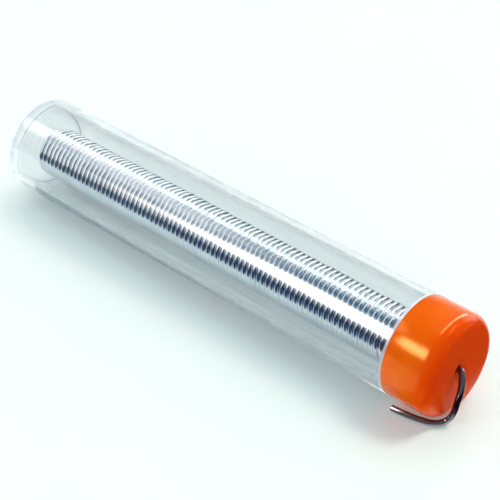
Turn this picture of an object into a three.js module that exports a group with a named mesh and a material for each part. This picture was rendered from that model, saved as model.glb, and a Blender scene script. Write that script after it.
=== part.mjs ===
// Pocket dispenser for solder wire, in millimetres, +Z up, lying on its side.
//
// A clear tube with a closed base holds a close-wound coil of solder wire. A push-on cap closes the
// mouth. The wire's free end comes through the hole in the middle of the cap, turns down the cap's
// face and runs back along its side, so that it can't slip inside.
//
// Every piece is built about the tube's axis, with x = 0 at the cap's rear rim and +X towards the
// free end. The last lines move the assembly so that its origin is under the middle of the tube
// and cap, on the surface that it lies on.

import * as THREE from 'three';

// Roundness: a flat of the polygon faces down, so the dispenser lies still.
const SIDES = 40;
const COIL_SIDES = 32;
const EDGE_STEPS = 4;

// Solder wire
const WIRE_DIAMETER = 1.0;
const WIRE_SIDES = 8;
const COIL_MEAN_RADIUS = 4.25;
const COIL_TURNS = 80;

// Clear tube
const TUBE_RADIUS = 8.4;
const TUBE_LENGTH = 82.5;
const BORE_RADIUS = 7.3;
const BASE_THICKNESS = 1.5;
const BASE_EDGE_RADIUS = 0.8;
const BORE_CORNER_RADIUS = 1.0;
const NECK_RADIUS = 7.75;
const NECK_LENGTH = 5.8;
const BEAD_WIDTH = 0.5;

// Cap
const CAP_RADIUS = 8.5;
const CAP_LENGTH = 8.4;
const SKIRT_CLEARANCE = 0.1;
const CAP_EDGE_LENGTH = 2.2;
const CAP_EDGE_DEPTH = 1.6;
const CAP_FRONT_WALL = 1.5;
const DISH_DEPTH = 0.25;
const DISH_RADIUS = 6.5;
const HOLE_RADIUS = 0.75;
const COUNTERSINK_RADIUS = 1.35;
const COUNTERSINK_DEPTH = 0.5;

// Where the coil lies: its front is held near the axis by the wire in the cap's hole, and its far
// end rests against the tube's wall, a little up the side.
const COIL_BASE_GAP = 0.9;
const COIL_FRONT_SAG = 0.2;
const COIL_REST_GAP = 0.2;
const COIL_REST_ANGLE = THREE.MathUtils.degToRad(40);

// The hidden lead from the coil's last turn to the axis
const LEAD_GAP = 0.3;
const LEAD_TURNS = 1.0;
const LEAD_ADVANCE = 0.5;
const LEAD_POINTS = 12;

const WIRE_RADIUS = WIRE_DIAMETER / 2;
const COIL_LENGTH = COIL_TURNS * WIRE_DIAMETER;
const FLAT_FACTOR = Math.cos(Math.PI / SIDES);
const AXIS_HEIGHT = CAP_RADIUS * FLAT_FACTOR;

const materials = {
  clearPlastic: { color: 0xdfe9ec, roughness: 0.05, metalness: 0.0, transparent: true, opacity: 0.35 },
  orangePlastic: { color: 0xf45a0c, roughness: 0.3, metalness: 0.0 },
  solder: { color: 0xd6d9dd, roughness: 0.18, metalness: 1.0 },
};

// A quarter of an ellipse as profile points, from angle 0 (along x) to 90 degrees (along r),
// about the centre (x, r). Positions along the axis are x, distances from it are r.
function quarterArc(x, r, xRadius, rRadius, startDegrees, endDegrees) {
  const points = [];
  for (let i = 0; i <= EDGE_STEPS; i += 1) {
    const share = i / EDGE_STEPS;
    const angle = THREE.MathUtils.degToRad(startDegrees + share * (endDegrees - startDegrees));
    points.push([x + xRadius * Math.cos(angle), r + rRadius * Math.sin(angle)]);
  }
  return points;
}

// A solid of revolution about the X axis from a profile of [x, r] points.
function turned(profile, sides) {
  const points = profile.map(([x, r]) => new THREE.Vector2(Math.max(r, 0), x));
  const geometry = new THREE.LatheGeometry(points, sides, Math.PI / sides, 2 * Math.PI);
  geometry.rotateZ(-Math.PI / 2);
  return geometry;
}

function part(name, geometry, look) {
  const mesh = new THREE.Mesh(geometry, new THREE.MeshStandardMaterial(look));
  mesh.name = name;
  return mesh;
}

// One moulding: thick closed base with a rounded edge, straight wall, a thin bead that stops the
// cap, and a thinner neck that the cap's skirt slides over.
function clearTube() {
  const baseX = -TUBE_LENGTH;
  const floorX = baseX + BASE_THICKNESS;
  const shoulderX = -SKIRT_CLEARANCE;
  const profile = [
    [baseX, 0],
    ...quarterArc(baseX + BASE_EDGE_RADIUS, TUBE_RADIUS - BASE_EDGE_RADIUS, BASE_EDGE_RADIUS,
      BASE_EDGE_RADIUS, 180, 90),
    [shoulderX - BEAD_WIDTH, TUBE_RADIUS],
    [shoulderX - BEAD_WIDTH, CAP_RADIUS],
    [shoulderX, CAP_RADIUS],
    [shoulderX, NECK_RADIUS],
    [NECK_LENGTH, NECK_RADIUS],
    [NECK_LENGTH, BORE_RADIUS],
    ...quarterArc(floorX + BORE_CORNER_RADIUS, BORE_RADIUS - BORE_CORNER_RADIUS, BORE_CORNER_RADIUS,
      BORE_CORNER_RADIUS, 90, 180),
    [floorX, 0],
  ];
  return part('clear_tube', turned(profile, SIDES), materials.clearPlastic);
}

// One moulding: skirt, rounded front edge, shallow dish and a countersunk hole for the wire.
function dispensingCap() {
  const skirtInner = NECK_RADIUS + SKIRT_CLEARANCE;
  const innerFaceX = CAP_LENGTH - CAP_FRONT_WALL;
  const dishX = CAP_LENGTH - DISH_DEPTH;
  const frontEdge = quarterArc(CAP_LENGTH - CAP_EDGE_LENGTH, CAP_RADIUS - CAP_EDGE_DEPTH,
    CAP_EDGE_LENGTH, CAP_EDGE_DEPTH, 90, 0);
  const profile = [
    [0, skirtInner],
    [0, CAP_RADIUS],
    ...frontEdge,
    [CAP_LENGTH, DISH_RADIUS],
    [dishX, DISH_RADIUS - DISH_DEPTH],
    [dishX, COUNTERSINK_RADIUS],
    [dishX - COUNTERSINK_DEPTH, HOLE_RADIUS],
    [innerFaceX, HOLE_RADIUS],
    [innerFaceX, skirtInner - 1.0],
    [innerFaceX - 1.0, skirtInner],
    [0, skirtInner],
  ];
  return part('dispensing_cap', turned(profile, SIDES), materials.orangePlastic);
}

// Centre of the coil's two ends, as [y, z] from the tube's axis.
function coilEnds() {
  const sag = BORE_RADIUS * FLAT_FACTOR - (COIL_MEAN_RADIUS + WIRE_RADIUS) - COIL_REST_GAP;
  return {
    front: new THREE.Vector3(0, 0, -COIL_FRONT_SAG),
    far: new THREE.Vector3(
      -TUBE_LENGTH + BASE_THICKNESS + COIL_BASE_GAP,
      sag * Math.sin(COIL_REST_ANGLE),
      -sag * Math.cos(COIL_REST_ANGLE),
    ),
  };
}

// The close-wound turns as one ring, as long and as thick as the winding.
function wireCoil() {
  const outer = COIL_MEAN_RADIUS + WIRE_RADIUS;
  const inner = COIL_MEAN_RADIUS - WIRE_RADIUS;
  const profile = [[-COIL_LENGTH, inner], [-COIL_LENGTH, outer], [0, outer], [0, inner], [-COIL_LENGTH, inner]];
  const { front, far } = coilEnds();
  const coil = part('wire_coil', turned(profile, COIL_SIDES), materials.solder);
  const along = front.clone().sub(far).normalize();
  coil.quaternion.setFromUnitVectors(new THREE.Vector3(1, 0, 0), along);
  coil.position.copy(front);
  return coil;
}

// From the coil's last turn the wire winds in to the axis. The angle is measured from +Z towards -Y.
function leadPoints() {
  const points = [];
  const startX = WIRE_RADIUS + LEAD_GAP;
  for (let i = 0; i < LEAD_POINTS; i += 1) {
    const share = i / LEAD_POINTS;
    const angle = 2 * Math.PI * LEAD_TURNS * share;
    const radius = COIL_MEAN_RADIUS * (1 - share);
    const sag = COIL_FRONT_SAG * (1 - share);
    points.push(new THREE.Vector3(
      startX + LEAD_ADVANCE * share,
      -radius * Math.sin(angle),
      radius * Math.cos(angle) - sag,
    ));
  }
  return points;
}

// Through the cap's hole, down its face, round its lower edge and back along its side, lying on
// the surface under the cap. z is measured from the tube's axis.
function hookPoints() {
  const onSurface = WIRE_RADIUS + 0.05 - AXIS_HEIGHT;
  return [
    [2.6, 0, 0],
    [4.4, 0, 0],
    [6.2, 0, 0],
    [7.6, 0, 0],
    [8.45, -0.05, -0.05],
    [9.05, -0.55, -0.4],
    [9.55, -1.15, -1.25],
    [9.85, -1.8, -2.45],
    [9.8, -2.35, -4.1],
    [9.65, -2.6, -5.65],
    [9.3, -2.9, -6.85],
    [8.75, -3.4, -7.65],
    [8.05, -4.2, onSurface],
    [7.1, -4.9, onSurface],
    [5.6, -5.4, onSurface],
    [4.0, -5.75, onSurface],
    [2.4, -6.0, onSurface],
    [0.85, -6.15, onSurface],
  ].map(([x, y, z]) => new THREE.Vector3(x, y, z));
}

function roundSection(radius, sides) {
  const shape = new THREE.Shape();
  for (let i = 0; i < sides; i += 1) {
    const angle = (2 * Math.PI * i) / sides;
    const point = [radius * Math.cos(angle), radius * Math.sin(angle)];
    if (i === 0) shape.moveTo(...point);
    else shape.lineTo(...point);
  }
  shape.closePath();
  return shape;
}

function wireFreeEnd() {
  const route = new THREE.CatmullRomCurve3([...leadPoints(), ...hookPoints()], false, 'centripetal');
  const geometry = new THREE.ExtrudeGeometry(roundSection(WIRE_RADIUS, WIRE_SIDES), {
    extrudePath: route,
    steps: 72,
    bevelEnabled: false,
    curveSegments: 1,
  });
  return part('wire_free_end', geometry, materials.solder);
}

const dispenser = new THREE.Group();
dispenser.add(clearTube(), dispensingCap(), wireCoil(), wireFreeEnd());
dispenser.position.set((TUBE_LENGTH - CAP_LENGTH) / 2, 0, AXIS_HEIGHT);

export default dispenser;
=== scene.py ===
"""Pocket solder dispenser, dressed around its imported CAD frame: clear tube, orange cap and wound wire.

Lengths named *_MM are millimetres from the tube's axis and from the cap's rear rim, +X towards the
wire's free end; row() turns such a point into the row frame, in metres.
"""
import math
import random

import bpy
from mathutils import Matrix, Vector


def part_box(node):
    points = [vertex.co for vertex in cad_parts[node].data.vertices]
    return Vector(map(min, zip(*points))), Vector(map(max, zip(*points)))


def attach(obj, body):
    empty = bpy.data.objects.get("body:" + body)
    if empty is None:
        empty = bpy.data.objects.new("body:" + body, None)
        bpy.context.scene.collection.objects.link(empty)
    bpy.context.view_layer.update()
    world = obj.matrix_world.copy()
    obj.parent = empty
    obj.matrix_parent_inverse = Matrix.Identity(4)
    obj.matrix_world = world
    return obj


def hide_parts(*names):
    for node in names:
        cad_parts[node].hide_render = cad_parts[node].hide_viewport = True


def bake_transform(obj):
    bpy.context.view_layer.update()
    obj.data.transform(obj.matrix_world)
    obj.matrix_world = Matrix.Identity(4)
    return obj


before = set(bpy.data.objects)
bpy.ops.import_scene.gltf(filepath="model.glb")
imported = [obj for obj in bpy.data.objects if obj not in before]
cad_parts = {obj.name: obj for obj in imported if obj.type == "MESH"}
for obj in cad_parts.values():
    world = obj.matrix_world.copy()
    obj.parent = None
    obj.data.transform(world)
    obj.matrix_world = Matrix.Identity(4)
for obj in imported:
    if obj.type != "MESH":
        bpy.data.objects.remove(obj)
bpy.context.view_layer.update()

MM = 0.001
SEED = 11

cap_low, cap_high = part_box("dispensing_cap")
AXIS_HEIGHT = (cap_low.z + cap_high.z) / 2
RIM_X = cap_low.x


def row(x, y, z):
    """A point of the dispenser, in millimetres from its axis and the cap's rim, in the row frame."""
    return Vector((RIM_X + x * MM, y * MM, AXIS_HEIGHT + z * MM))


# ---------------------------------------------------------------- camera

CAMERA_PLACE = (0.14150, -0.15301, 0.16540)
CAMERA_TARGET = (0.00276, 0.00101, 0.00847)
CAMERA_LENS = 115.73
CAMERA_SENSOR = 36.0


def make_camera():
    """Above the dispenser, in front of its cap and on its -Y side, with a long lens."""
    data = bpy.data.cameras.new("camera")
    data.lens = CAMERA_LENS
    data.sensor_width = CAMERA_SENSOR
    data.clip_start = 0.01
    data.clip_end = 20.0
    camera = bpy.data.objects.new("camera", data)
    bpy.context.scene.collection.objects.link(camera)
    camera.location = CAMERA_PLACE
    look = Vector(CAMERA_TARGET) - Vector(CAMERA_PLACE)
    camera.rotation_euler = look.to_track_quat("-Z", "Y").to_euler()
    bpy.context.scene.camera = camera


make_camera()


# ---------------------------------------------------------------- mesh helpers

def add_object(name, vertices, faces, material=None, crease=math.radians(35)):
    """A mesh object whose faces are shaded smoothly, except across edges sharper than crease."""
    mesh = bpy.data.meshes.new(name)
    mesh.from_pydata([tuple(v) for v in vertices], [], faces)
    mesh.validate()
    mesh.polygons.foreach_set("use_smooth", [True] * len(mesh.polygons))
    mesh.set_sharp_from_angle(angle=crease)
    if material:
        mesh.materials.append(material)
    obj = bpy.data.objects.new(name, mesh)
    bpy.context.scene.collection.objects.link(obj)
    return obj


def arc(x, r, x_radius, r_radius, start, end, steps):
    """Profile points (x, r) on an ellipse about (x, r), from one angle to another, in degrees."""
    points = []
    for i in range(steps + 1):
        angle = math.radians(start + (end - start) * i / steps)
        points.append((x + x_radius * math.cos(angle), r + r_radius * math.sin(angle)))
    return points


def spin(name, profile, sides, material):
    """A solid of revolution about the dispenser's axis from a closed profile of (x, r) in millimetres.

    Points with r = 0 become one vertex each, so that the ends close without slivers."""
    vertices, rings = [], []
    for x, r in profile:
        if r < 1e-6:
            rings.append([len(vertices)])
            vertices.append(row(x, 0, 0))
            continue
        rings.append(list(range(len(vertices), len(vertices) + sides)))
        for k in range(sides):
            angle = 2 * math.pi * k / sides
            vertices.append(row(x, r * math.cos(angle), r * math.sin(angle)))
    faces = []
    count = len(rings)
    for i in range(count):
        a, b = rings[i], rings[(i + 1) % count]
        if len(a) == 1 and len(b) == 1:
            continue
        for k in range(sides):
            n = (k + 1) % sides
            if len(a) == 1:
                faces.append((a[0], b[n], b[k]))
            elif len(b) == 1:
                faces.append((a[k], a[n], b[0]))
            else:
                faces.append((a[k], a[n], b[n], b[k]))
    return add_object(name, vertices, faces, material)


def sweep(name, points, radius, sides, material):
    """A closed round bar along points, with parallel-transported sections and flat ends."""
    count = len(points)
    tangents = [
        (points[min(i + 1, count - 1)] - points[max(i - 1, 0)]).normalized() for i in range(count)
    ]
    normal = tangents[0].orthogonal().normalized()
    vertices = []
    for i, (point, tangent) in enumerate(zip(points, tangents)):
        if i:
            normal = tangents[i - 1].rotation_difference(tangent) @ normal
            normal = (normal - tangent * normal.dot(tangent)).normalized()
        side = tangent.cross(normal)
        for k in range(sides):
            angle = 2 * math.pi * k / sides
            vertices.append(point + (normal * math.cos(angle) + side * math.sin(angle)) * radius)
    faces = []
    for i in range(count - 1):
        for k in range(sides):
            n = (k + 1) % sides
            faces.append((i * sides + k, i * sides + n, (i + 1) * sides + n, (i + 1) * sides + k))
    last = (count - 1) * sides
    faces.append(tuple(reversed(range(sides))))
    faces.append(tuple(range(last, last + sides)))
    return add_object(name, vertices, faces, material)


# ---------------------------------------------------------------- materials

class Nodes:
    """The node tree of a material or of the world, with short calls to add and join nodes."""

    def __init__(self, owner, output):
        owner.use_nodes = True
        self.owner = owner
        self.tree = owner.node_tree
        self.tree.nodes.clear()
        self.output = self.add(output)

    def add(self, kind, **values):
        """A node. Each value is one of its settings, or one of its inputs with _ for a space."""
        node = self.tree.nodes.new("ShaderNode" + kind)
        for key, value in values.items():
            if hasattr(node, key) and key not in node.inputs:
                setattr(node, key, value)
            else:
                node.inputs[key.replace("_", " ")].default_value = value
        return node

    def join(self, source, target):
        """Give target a colour, a number or another node's output."""
        if isinstance(source, (int, float, tuple)):
            target.default_value = source
        else:
            self.tree.links.new(source, target)

    def finish(self, shader):
        self.join(shader, self.output.inputs["Surface"])
        return self.owner

    def noise(self, place, scale, detail=2.0):
        node = self.add("TexNoise", Scale=scale, Detail=detail)
        self.join(place, node.inputs["Vector"])
        return node.outputs["Fac"]

    def parts(self, vector):
        node = self.add("SeparateXYZ")
        self.join(vector, node.inputs["Vector"])
        return node.outputs

    def ramp(self, source, *stops):
        """A colour ramp of (place, colour) stops."""
        node = self.add("ValToRGB")
        elements = node.color_ramp.elements
        for element, (place, colour) in zip(elements, stops):
            element.position = place
            element.color = (*colour, 1.0)
        self.join(source, node.inputs["Fac"])
        return node.outputs["Color"]

    def span(self, source, low, high, from_low=0.0, from_high=1.0):
        """source, spread from one range of numbers to another."""
        node = self.add("MapRange", From_Min=from_low, From_Max=from_high, To_Min=low, To_Max=high)
        self.join(source, node.inputs["Value"])
        return node.outputs["Result"]

    def smooth(self, source, low, high):
        """0 at low and 1 at high, with soft ends."""
        node = self.add("MapRange", interpolation_type="SMOOTHSTEP", From_Min=low, From_Max=high)
        self.join(source, node.inputs["Value"])
        return node.outputs["Result"]

    def math(self, operation, first, second):
        node = self.add("Math", operation=operation)
        self.join(first, node.inputs[0])
        self.join(second, node.inputs[1])
        return node.outputs["Value"]

    def product(self, first, *others):
        result = first
        for other in others:
            result = self.math("MULTIPLY", result, other)
        return result

    def blend(self, share, first, second):
        """A colour between two."""
        node = self.add("Mix", data_type="RGBA")
        self.join(share, node.inputs["Factor"])
        self.join(first, node.inputs["A"])
        self.join(second, node.inputs["B"])
        return node.outputs["Result"]

    def blend_shaders(self, share, first, second):
        node = self.add("MixShader")
        self.join(share, node.inputs["Fac"])
        self.join(first, node.inputs[1])
        self.join(second, node.inputs[2])
        return node.outputs["Shader"]

    def bump(self, height, strength, distance):
        node = self.add("Bump", Strength=strength, Distance=distance)
        self.join(height, node.inputs["Height"])
        return node.outputs["Normal"]


def material_nodes(name):
    """A new material's node tree and the place on the object that its patterns follow."""
    n = Nodes(bpy.data.materials.new(name), "OutputMaterial")
    return n, n.add("TexCoord").outputs["Object"]


WALL_TINT = (0.94, 0.957, 0.966, 1.0)
# The base rim's lavender tint is painted: a painted reflection for the light the thick base refracts.
BASE_RIM_PAINTED_TINT = (0.70, 0.73, 0.87, 1.0)
LAMP_TINT = (0.76, 0.81, 0.83, 1.0)
FLOW_STRETCH = (0.25, 1.0, 1.0)


def clear_plastic(name, tint):
    """Polished clear polystyrene with faint flow marks. Light that shines on things through it, and
    light caught inside its wall, passes straight out."""
    n, place = material_nodes(name)
    stretch = n.add("Mapping", Scale=FLOW_STRETCH)
    n.join(place, stretch.inputs["Vector"])
    flow = n.noise(stretch.outputs["Vector"], 90.0, 3.0)
    shader = n.add("BsdfPrincipled", Base_Color=tint, Transmission_Weight=1.0, IOR=1.57)
    n.join(n.span(flow, 0.01, 0.05), shader.inputs["Roughness"])
    n.join(n.bump(flow, 0.025, 0.0004), shader.inputs["Normal"])
    through = n.add("BsdfTransparent", Color=LAMP_TINT).outputs["BSDF"]
    out = n.add("BsdfTransparent", Color=tint).outputs["BSDF"]
    path = n.add("LightPath").outputs
    caught = n.product(n.math("GREATER_THAN", path["Glossy Depth"], 1.5),
                       n.math("LESS_THAN", path["Transmission Depth"], 1.5))
    surface = n.blend_shaders(caught, shader.outputs["BSDF"], out)
    surface = n.blend_shaders(n.math("GREATER_THAN", path["Diffuse Depth"], 0.5), surface, through)
    surface = n.blend_shaders(n.math("GREATER_THAN", path["Is Shadow Ray"], 0.5), surface, through)
    return n.finish(surface)


def bead_plastic():
    """The tube's own plastic where the mould leaves it matt: the thin bead behind the cap. Its pale
    lavender colour is a painted highlight for the light its edge catches.
    """
    n, place = material_nodes("clear_bead")
    grain = n.noise(place, 900.0)
    shader = n.add("BsdfPrincipled", Transmission_Weight=0.6, IOR=1.57)
    # Painted highlight: the bead's pale lavender colour.
    colour = n.ramp(grain, (0.3, (0.80, 0.79, 0.93)), (0.7, (0.86, 0.84, 0.95)))
    n.join(colour, shader.inputs["Base Color"])
    n.join(n.span(grain, 0.28, 0.45), shader.inputs["Roughness"])
    return n.finish(shader.outputs["BSDF"])


def orange_plastic():
    """Glossy orange polyethylene that lets a little light in, with a fine moulded skin. Towards the
    front, where the wall is thick, it is painted darker and redder: painted shade for how the front
    takes the light."""
    n, place = material_nodes("orange_plastic")
    cloud = n.noise(place, 160.0, 4.0)
    skin = n.noise(place, 2600.0, 3.0)
    shader = n.add("BsdfPrincipled", IOR=1.5, Specular_Tint=(1.0, 0.66, 0.22, 1.0),
                   Subsurface_Weight=0.35, Subsurface_Radius=(1.0, 0.30, 0.08), Subsurface_Scale=0.002)
    skirt = n.ramp(cloud, (0.3, (1.00, 0.115, 0.0)), (0.7, (1.00, 0.140, 0.0)))
    front = n.ramp(cloud, (0.3, (0.90, 0.055, 0.0)), (0.7, (0.94, 0.075, 0.0)))
    # Painted shade: the colour turns darker and redder towards the front.
    front_shade = n.span(n.parts(place)["X"], 0.0, 1.0, row(SKIRT_END_MM, 0, 0).x, row(CAP_LENGTH_MM, 0, 0).x)
    n.join(n.blend(front_shade, skirt, front), shader.inputs["Base Color"])
    n.join(n.span(cloud, 0.12, 0.20), shader.inputs["Roughness"])
    n.join(n.bump(skin, 0.10, 0.00003), shader.inputs["Normal"])
    return n.finish(shader.outputs["BSDF"])


# The free end's painted darkening: a painted dark reflection ahead of the cap and next to the floor.
PAINTED_DARK_END = (0.46, 0.42, 0.47, 1.0)
DARK_END_FROM_MM = 7.9
DARK_END_TO_MM = 8.6
DARK_END_HEIGHTS = (0.0012, 0.0016)


def solder():
    """Bright drawn tin-lead wire with fine drawing marks and a faint bloom. The free end, what lies
    ahead of the cap or next to the floor, is painted duller and darker: a painted dark reflection."""
    n, place = material_nodes("solder")
    marks = n.noise(place, 1500.0, 4.0)
    bloom = n.noise(place, 260.0, 3.0)
    shader = n.add("BsdfPrincipled", Metallic=1.0)
    colour = n.ramp(bloom, (0.35, (0.74, 0.80, 0.86)), (0.7, (0.83, 0.88, 0.92)))
    along = n.parts(place)
    ahead = n.span(along["X"], 0.0, 1.0, row(DARK_END_FROM_MM, 0, 0).x, row(DARK_END_TO_MM, 0, 0).x)
    under = n.span(along["Z"], 1.0, 0.0, *DARK_END_HEIGHTS)
    # Painted dark reflection: the free end's colour is blended towards a dark grey.
    dark_end_colour = n.blend(n.math("MAXIMUM", ahead, under), colour, PAINTED_DARK_END)
    n.join(dark_end_colour, shader.inputs["Base Color"])
    n.join(n.span(marks, 0.04, 0.10), shader.inputs["Roughness"])
    n.join(n.bump(marks, 0.08, 0.00004), shader.inputs["Normal"])
    return n.finish(shader.outputs["BSDF"])


# ---------------------------------------------------------------- solder wire

WIRE_DIAMETER_MM = 1.0
WIRE_RADIUS_MM = WIRE_DIAMETER_MM / 2
COIL_TURNS = 80
COIL_PITCH_MM = 1.005
COIL_MEAN_RADIUS_MM = 4.25
COIL_POINTS_PER_TURN = 40
COIL_UNEVEN_MM = 0.05
COIL_UNEVEN_RADIUS_MM = 0.035
WIRE_SIDES = 14
COIL_FRONT_SAG_MM = 0.2
COIL_BASE_GAP_MM = 0.9
COIL_REST_GAP_MM = 0.222
COIL_REST_ANGLE = math.radians(40)
LEAD_START_MM = 0.8
LEAD_ADVANCE_MM = 0.5
LEAD_POINTS = 12
LINE_STEPS = 9
SURFACE_GAP_MM = 0.05
ON_SURFACE_MM = WIRE_RADIUS_MM + SURFACE_GAP_MM - AXIS_HEIGHT / MM

# Through the cap's hole, down its face, round its lower edge and back along its side
HOOK_MM = [
    (2.6, 0, 0), (4.4, 0, 0), (6.2, 0, 0), (7.6, 0, 0), (8.45, -0.05, -0.05),
    (9.05, -0.55, -0.4), (9.55, -1.15, -1.25), (9.85, -1.8, -2.45), (9.8, -2.35, -4.1),
    (9.65, -2.6, -5.65), (9.3, -2.9, -6.85), (8.75, -3.4, -7.65), (8.05, -4.2, ON_SURFACE_MM),
    (7.1, -4.9, ON_SURFACE_MM), (5.6, -5.4, ON_SURFACE_MM), (4.0, -5.75, ON_SURFACE_MM),
    (2.4, -6.0, ON_SURFACE_MM), (0.85, -6.15, ON_SURFACE_MM),
]


def coil_far():
    """Middle of the coil's far end, which rests against the tube's wall, a little up its side."""
    sag = BORE_RADIUS_MM - COIL_MEAN_RADIUS_MM - WIRE_RADIUS_MM - COIL_REST_GAP_MM
    return Vector((
        -TUBE_LENGTH_MM + BASE_THICKNESS_MM + COIL_BASE_GAP_MM,
        sag * math.sin(COIL_REST_ANGLE),
        -sag * math.cos(COIL_REST_ANGLE),
    ))


def coil_points():
    """Close-wound turns from the far end to the front, as hand winding leaves them: not quite even."""
    rng = random.Random(SEED)
    front = Vector((0, 0, -COIL_FRONT_SAG_MM))
    along = (front - coil_far()).normalized()
    turn_axis = Vector((1, 0, 0)).rotation_difference(along)
    across = [rng.uniform(-1, 1) for _ in range(COIL_TURNS + 2)]
    upward = [rng.uniform(-1, 1) for _ in range(COIL_TURNS + 2)]
    wide = [rng.uniform(-1, 1) for _ in range(COIL_TURNS + 2)]
    points = []
    for i in range(COIL_TURNS * COIL_POINTS_PER_TURN + 1):
        turns = i / COIL_POINTS_PER_TURN
        k = int(turns)
        share = turns - k
        share = share * share * (3 - 2 * share)
        dy, dz, dr = (v[k] * (1 - share) + v[k + 1] * share for v in (across, upward, wide))
        angle = 2 * math.pi * turns
        radius = COIL_MEAN_RADIUS_MM + COIL_UNEVEN_RADIUS_MM * dr
        local = Vector((
            (turns - COIL_TURNS) * COIL_PITCH_MM,
            -radius * math.sin(angle) + COIL_UNEVEN_MM * dy,
            radius * math.cos(angle) + COIL_UNEVEN_MM * dz,
        ))
        points.append(front + turn_axis @ local)
    return points


def lead_points():
    """From the coil's last turn the wire winds in to the axis."""
    points = []
    for i in range(LEAD_POINTS):
        share = i / LEAD_POINTS
        angle = 2 * math.pi * share
        radius = COIL_MEAN_RADIUS_MM * (1 - share)
        points.append(Vector((
            LEAD_START_MM + LEAD_ADVANCE_MM * share,
            -radius * math.sin(angle),
            radius * math.cos(angle) - COIL_FRONT_SAG_MM * (1 - share),
        )))
    return points


def between(first, second, start, end, time):
    """The point reached at time on the straight way from first at start to second at end."""
    return first * ((end - time) / (end - start)) + second * ((time - start) / (end - start))


def smooth_line(points, steps):
    """A centripetal Catmull-Rom curve through points, with steps between each pair."""
    ends = [points[0] * 2 - points[1], *points, points[-1] * 2 - points[-2]]
    line = []
    for i in range(1, len(ends) - 2):
        near = ends[i - 1:i + 3]
        times = [0.0]
        for a, b in zip(near, near[1:]):
            times.append(times[-1] + math.sqrt((b - a).length))
        for s in range(steps):
            time = times[1] + (times[2] - times[1]) * s / steps
            level = near
            for reach in (1, 2):
                level = [
                    between(level[k], level[k + 1], times[k], times[k + reach], time)
                    for k in range(len(level) - 1)
                ]
            line.append(between(level[0], level[1], times[1], times[2], time))
    line.append(points[-1])
    return line


def line_length(points):
    return sum((b - a).length for a, b in zip(points, points[1:]))


def make_wire(material):
    """The whole wire as one tube: turns, lead and hooked free end."""
    coil = coil_points()
    lead_and_hook = lead_points() + [Vector(p) for p in HOOK_MM]
    tail = smooth_line([coil[-1], *lead_and_hook], LINE_STEPS)
    line = [row(*p) for p in coil + tail[1:]]
    wire = sweep("solder_wire", line, WIRE_RADIUS_MM * MM, WIRE_SIDES, material)
    return wire, line, line_length(line)


# ---------------------------------------------------------------- clear tube and cap

TUBE_RADIUS_MM = 8.4
TUBE_LENGTH_MM = 82.5
BORE_RADIUS_MM = 7.3
BASE_THICKNESS_MM = 1.5
BASE_EDGE_MM = 0.8
BORE_CORNER_MM = 0.5
NECK_RADIUS_MM = 7.75
NECK_LENGTH_MM = 5.8
BEAD_WIDTH_MM = 0.36
BEAD_EDGE_LENGTH_MM = 0.1
BEAD_EDGE_DEPTH_MM = 0.04
NECK_EDGE_MM = 0.2
BEAD_INNER_MM = 8.0
RIM_GAP_MM = 0.02
CAP_RADIUS_MM = 8.47
CAP_LENGTH_MM = 8.4
SKIRT_CLEARANCE_MM = 0.1
CAP_EDGE_LENGTH_MM = 2.2
CAP_EDGE_DEPTH_MM = 1.6
CAP_FRONT_WALL_MM = 1.5
CAP_INNER_CORNER_MM = 1.0
DISH_DEPTH_MM = 0.15
DISH_RADIUS_MM = 6.5
HOLE_RADIUS_MM = 0.75
COUNTERSINK_RADIUS_MM = 1.35
COUNTERSINK_DEPTH_MM = 0.5
SKIRT_EDGE_MM = 0.08
SKIRT_END_MM = 4.5
TUBE_SIDES = 160
CAP_SIDES = 128

# Extra rings that keep the long faces of the flat and straight walls regular
BASE_RING_MM = 3.0
WALL_RING_MM = 12.0
SKIRT_RING_MM = 3.0
DISH_RING_MM = 4.0


def tube_profile(bead, shoulder):
    """Half outline of the tube, from the base's middle round the outside and back through the bore."""
    base = -TUBE_LENGTH_MM
    floor = base + BASE_THICKNESS_MM
    edge, corner, lip = BASE_EDGE_MM, BORE_CORNER_MM, NECK_EDGE_MM
    long, deep = BEAD_EDGE_LENGTH_MM, BEAD_EDGE_DEPTH_MM
    return [
        (base, 0),
        (base, BASE_RING_MM),
        *arc(base + edge, TUBE_RADIUS_MM - edge, edge, edge, 180, 90, 10),
        (floor, TUBE_RADIUS_MM),
        (bead - WALL_RING_MM, TUBE_RADIUS_MM),
        *arc(bead + long, CAP_RADIUS_MM - deep, long, deep, 180, 90, 3),
        *arc(shoulder - long, CAP_RADIUS_MM - deep, long, deep, 90, 0, 3),
        (shoulder, NECK_RADIUS_MM),
        *arc(NECK_LENGTH_MM - lip, NECK_RADIUS_MM - lip, lip, lip, 90, 0, 3),
        (NECK_LENGTH_MM, BORE_RADIUS_MM),
        (bead - WALL_RING_MM, BORE_RADIUS_MM),
        *arc(floor + corner, BORE_RADIUS_MM - corner, corner, corner, 90, 180, 10),
        (floor, BASE_RING_MM),
        (floor, 0),
    ]


def make_tube(material, bead_material, base_material):
    """The moulding, with the bead and the thick base's rim in materials of their own."""
    shoulder = -RIM_GAP_MM
    bead = -SKIRT_CLEARANCE_MM - BEAD_WIDTH_MM
    tube = spin("tube_shell", tube_profile(bead, shoulder), TUBE_SIDES, material)
    tube.data.materials.append(bead_material)
    tube.data.materials.append(base_material)
    rim_low, rim_high = row(bead - 0.01, 0, 0).x, row(shoulder + 0.01, 0, 0).x
    base_end = row(BASE_THICKNESS_MM - TUBE_LENGTH_MM, 0, 0).x
    for face in tube.data.polygons:
        radius = (face.center - row(0, 0, 0)).yz.length
        if rim_low < face.center.x < rim_high and radius > BEAD_INNER_MM * MM:
            face.material_index = 1
        elif face.center.x < base_end and radius > BORE_RADIUS_MM * MM:
            face.material_index = 2
    return tube


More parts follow.
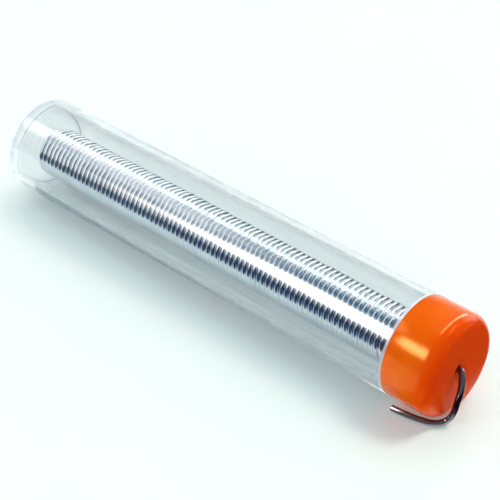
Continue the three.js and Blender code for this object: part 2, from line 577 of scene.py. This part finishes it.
def make_cap(material):
    """Skirt with a softened rear rim, rounded front edge, shallow dish and countersunk hole."""
    skirt = NECK_RADIUS_MM + SKIRT_CLEARANCE_MM
    inner_face = CAP_LENGTH_MM - CAP_FRONT_WALL_MM
    dish = CAP_LENGTH_MM - DISH_DEPTH_MM
    edge = SKIRT_EDGE_MM
    profile = [
        (0, skirt),
        *arc(edge, CAP_RADIUS_MM - edge, edge, edge, 180, 90, 3),
        (SKIRT_RING_MM, CAP_RADIUS_MM),
        *arc(CAP_LENGTH_MM - CAP_EDGE_LENGTH_MM, CAP_RADIUS_MM - CAP_EDGE_DEPTH_MM,
             CAP_EDGE_LENGTH_MM, CAP_EDGE_DEPTH_MM, 90, 0, 14),
        (CAP_LENGTH_MM, DISH_RADIUS_MM),
        (dish, DISH_RING_MM),
        (dish, COUNTERSINK_RADIUS_MM),
        (dish - COUNTERSINK_DEPTH_MM, HOLE_RADIUS_MM),
        (inner_face, HOLE_RADIUS_MM),
        (inner_face, skirt - CAP_INNER_CORNER_MM),
        (inner_face - CAP_INNER_CORNER_MM, skirt),
    ]
    return spin("cap_shell", profile, CAP_SIDES, material)


# ---------------------------------------------------------------- floor

FLOOR_HALF = 0.9
FLOOR_DROP = 0.00005
FLOOR_COLOURS = ((0.70, 0.77, 0.745), (0.715, 0.78, 0.755))
FLOOR_GLOW = (0.86, 0.94, 0.96, 1.0)
FLOOR_GLOW_STRENGTH = 0.16

# The floor's painted dark reflections, seen only in reflections: how far in front of the axis the first
# begins, by the far and the near end of the tube, and where the others begin and end along X and across
DARK_FRONT = (0.004, 0.034, 0.120, 1.0)
DARK_FRONT_FAR_MM = 25.0
DARK_FRONT_NEAR_MM = 16.0
DARK_FRONT_X_MM = (-95.0, -15.0)
DARK_FRONT_WIDTH_MM = 6.5
DARK_BESIDE = (0.016, 0.005, 0.014, 1.0)
DARK_BEYOND_X_MM = (9.5, 12.5)
DARK_BESIDE_X_MM = (-2.0, 1.0)
DARK_BESIDE_Y_MM = (-8.5, -6.0)


def x_places(places):
    return [row(x, 0, 0).x for x in places]


def darkened(n, path, below, share, depth_test, depth, colour):
    """below, with a painted dark reflection over share of the floor: dark only where it is seen in
    reflections of the tested depth.
    """
    mirrored = n.math("GREATER_THAN", path["Glossy Depth"], 0.5)
    tested = n.math(depth_test, path["Transmission Depth"], depth)
    dark = n.add("Emission", Color=colour).outputs["Emission"]
    return n.blend_shaders(n.product(share, mirrored, tested), below, dark)


def front_zone(n, place):
    start = n.span(place["X"], DARK_FRONT_FAR_MM * MM, DARK_FRONT_NEAR_MM * MM,
                   *x_places(DARK_FRONT_X_MM))
    forward = n.math("SUBTRACT", n.product(place["Y"], -1.0), start)
    return n.span(forward, 0.0, 1.0, 0.0, DARK_FRONT_WIDTH_MM * MM)


def cap_zone(n, place):
    beyond = n.span(place["X"], 0.0, 1.0, *x_places(DARK_BEYOND_X_MM))
    across = n.span(place["Y"], 1.0, 0.0, *(y * MM for y in DARK_BESIDE_Y_MM))
    beside = n.product(across, n.span(place["X"], 0.0, 1.0, *x_places(DARK_BESIDE_X_MM)))
    return n.math("MAXIMUM", beyond, beside)


def make_floor():
    """Pale paper with a slight glow of painted light that lifts its shadows. In reflections alone it is
    painted dark in front of the tube and beyond and beside the cap: painted dark reflections for an
    unlit room."""
    n, place = material_nodes("floor")
    grain = n.noise(place, 30.0)
    shader = n.add("BsdfPrincipled", Roughness=0.6, Emission_Color=FLOOR_GLOW,
                   Emission_Strength=FLOOR_GLOW_STRENGTH)
    n.join(n.ramp(grain, (0.3, FLOOR_COLOURS[0]), (0.7, FLOOR_COLOURS[1])), shader.inputs["Base Color"])
    split = n.parts(place)
    path = n.add("LightPath").outputs
    # Painted dark reflections: dark emission that only reflection rays see.
    surface = darkened(n, path, shader.outputs["BSDF"], front_zone(n, split),
                       "GREATER_THAN", 2.5, DARK_FRONT)
    surface = darkened(n, path, surface, cap_zone(n, split), "LESS_THAN", 0.5, DARK_BESIDE)
    half = FLOOR_HALF
    corners = [(-half, -half, 0), (half, -half, 0), (half, half, 0), (-half, half, 0)]
    floor = add_object("floor", corners, [(0, 1, 2, 3)], n.finish(surface))
    floor.location.z = -FLOOR_DROP


# ---------------------------------------------------------------- studio

# Each panel is its middle azimuth, half width, lowest and highest elevation and soft edge, in
# degrees, then its colour and brightness. Each strip runs along the dispenser: its angles about the
# X axis from the zenith towards -Y and soft edge, in degrees, its reach along X as direction cosines
# and soft edge, then its colour and brightness. The first set of lights lights everything and is
# what the wire mirrors through the tube. The outer set is what outer surfaces mirror.
INNER_BASE = ((0.94, 1.00, 1.00), 0.85)
INNER_PANELS = [
    (122, 62, -20, 14, 6, (0.80, 0.90, 0.95), 0.30),
    (122, 62, 16, 60, 5, (0.97, 1.00, 0.98), 1.20),
    (-147, 29, 6, 44, 4, (0.96, 0.99, 1.00), 1.05),
    (-8, 66, 18, 45, 5, (0.016, 0.016, 0.026), 1.0),
    (-13, 94, -10, 20, 5, (0.012, 0.015, 0.030), 1.0),
    (107, 5, 8, 66, 3, (1.00, 0.98, 0.94), 3.0),
    (58, 16, 54, 71, 4, (0.98, 0.99, 0.94), 20.0),
]
INNER_STRIPS = [
    (26, 78, 5, -0.51, 0.24, 0.08, (1.00, 0.99, 0.97), 1.35),
    (-1, 20, 6, -0.55, 0.92, 0.07, (0.003, 0.12, 0.25), 1.0),
    (91, 142, 3, -0.92, 0.92, 0.05, (0.004, 0.034, 0.120), 1.0),
]
OUTER_BASE = ((0.80, 0.90, 1.00), 0.16)
OUTER_PANELS = [
    (120, 75, -30, 10, 8, (0.86, 0.94, 0.96), 0.85),
    (180, 30, -30, 30, 8, (0.70, 0.74, 0.98), 0.60),
    (-157, 14, 38, 50, 4, (1.00, 0.99, 0.97), 4.5),
    (-122, 9, 27, 43, 5, (1.00, 0.97, 0.88), 24.0),
    (88, 14, -10, 32, 5, (1.00, 1.00, 1.00), 2.2),
]
OUTER_STRIPS = [
    (-80, 0, 5, -0.34, -0.24, 0.03, (1.00, 0.95, 0.85), 13.0),
]
BACKDROP = (0.90, 0.97, 0.95, 1.0)


def scaled(colour, strength):
    return (*(c * strength for c in colour), 1.0)


def panels_over(n, light, direction, panels):
    """light with soft-edged rectangles of other light laid over it, in order."""
    flat = n.add("VectorMath", operation="MULTIPLY")
    n.join(direction, flat.inputs[0])
    flat.inputs[1].default_value = (1, 1, 0)
    heading = n.add("VectorMath", operation="NORMALIZE")
    n.join(flat.outputs["Vector"], heading.inputs[0])
    height = n.parts(direction)["Z"]
    for azimuth, half, low, high, soft, colour, strength in panels:
        a = math.radians(azimuth)
        dot = n.add("VectorMath", operation="DOT_PRODUCT")
        n.join(heading.outputs["Vector"], dot.inputs[0])
        dot.inputs[1].default_value = (math.cos(a), math.sin(a), 0)
        across = n.smooth(dot.outputs["Value"], math.cos(math.radians(half + soft)),
                          math.cos(math.radians(max(half - soft, 0))))
        above = n.smooth(height, math.sin(math.radians(low - soft)), math.sin(math.radians(low + soft)))
        below = n.smooth(height, math.sin(math.radians(min(high + soft, 90))),
                         math.sin(math.radians(high - soft)))
        light = n.blend(n.product(across, above, below), light, scaled(colour, strength))
    return light


def strips_over(n, light, direction, strips):
    """light with soft-edged strips along X laid over it, in order."""
    split = n.parts(direction)
    around = n.math("ARCTAN2", n.product(split["Y"], -1.0), split["Z"])
    for low, high, soft, back, front, fade, colour, strength in strips:
        share = n.product(
            n.smooth(around, math.radians(low - soft), math.radians(low + soft)),
            n.smooth(around, math.radians(high + soft), math.radians(high - soft)),
            n.smooth(split["X"], back - fade, back + fade),
            n.smooth(split["X"], front + fade, front - fade),
        )
        light = n.blend(share, light, scaled(colour, strength))
    return light


def lights(n, direction, base, panels, strips):
    start = n.add("RGB")
    start.outputs["Color"].default_value = scaled(*base)
    light = panels_over(n, start.outputs["Color"], direction, panels)
    return strips_over(n, light, direction, strips)


def make_world():
    """The two sets of lights, and the plain backdrop that is seen directly."""
    n = Nodes(bpy.data.worlds.new("studio"), "OutputWorld")
    direction = n.add("TexCoord").outputs["Generated"]
    path = n.add("LightPath").outputs
    outside = n.product(n.math("GREATER_THAN", path["Glossy Depth"], 0.5),
                        n.math("LESS_THAN", path["Transmission Depth"], 2.5),
                        n.math("LESS_THAN", path["Diffuse Depth"], 0.5))
    inner = lights(n, direction, INNER_BASE, INNER_PANELS, INNER_STRIPS)
    outer = lights(n, direction, OUTER_BASE, OUTER_PANELS, OUTER_STRIPS)
    light = n.blend(outside, inner, outer)
    bounces = n.math("ADD", path["Diffuse Depth"], path["Glossy Depth"])
    light = n.blend(n.math("LESS_THAN", bounces, 0.5), light, BACKDROP)
    background = n.add("Background")
    n.join(light, background.inputs["Color"])
    scene = bpy.context.scene
    scene.world = n.finish(background.outputs["Background"])
    scene.view_settings.view_transform = "Standard"


# ---------------------------------------------------------------- assembly

solder_material = solder()
wire, wire_line, wire_length = make_wire(solder_material)
tube = make_tube(clear_plastic("clear_plastic", WALL_TINT), bead_plastic(),
                 clear_plastic("clear_base", BASE_RIM_PAINTED_TINT))
cap = make_cap(orange_plastic())

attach(tube, "tube")
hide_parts("clear_tube")
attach(cap, "cap")
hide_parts("dispensing_cap")

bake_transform(wire)
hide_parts("wire_coil", "wire_free_end")

make_floor()
make_world()
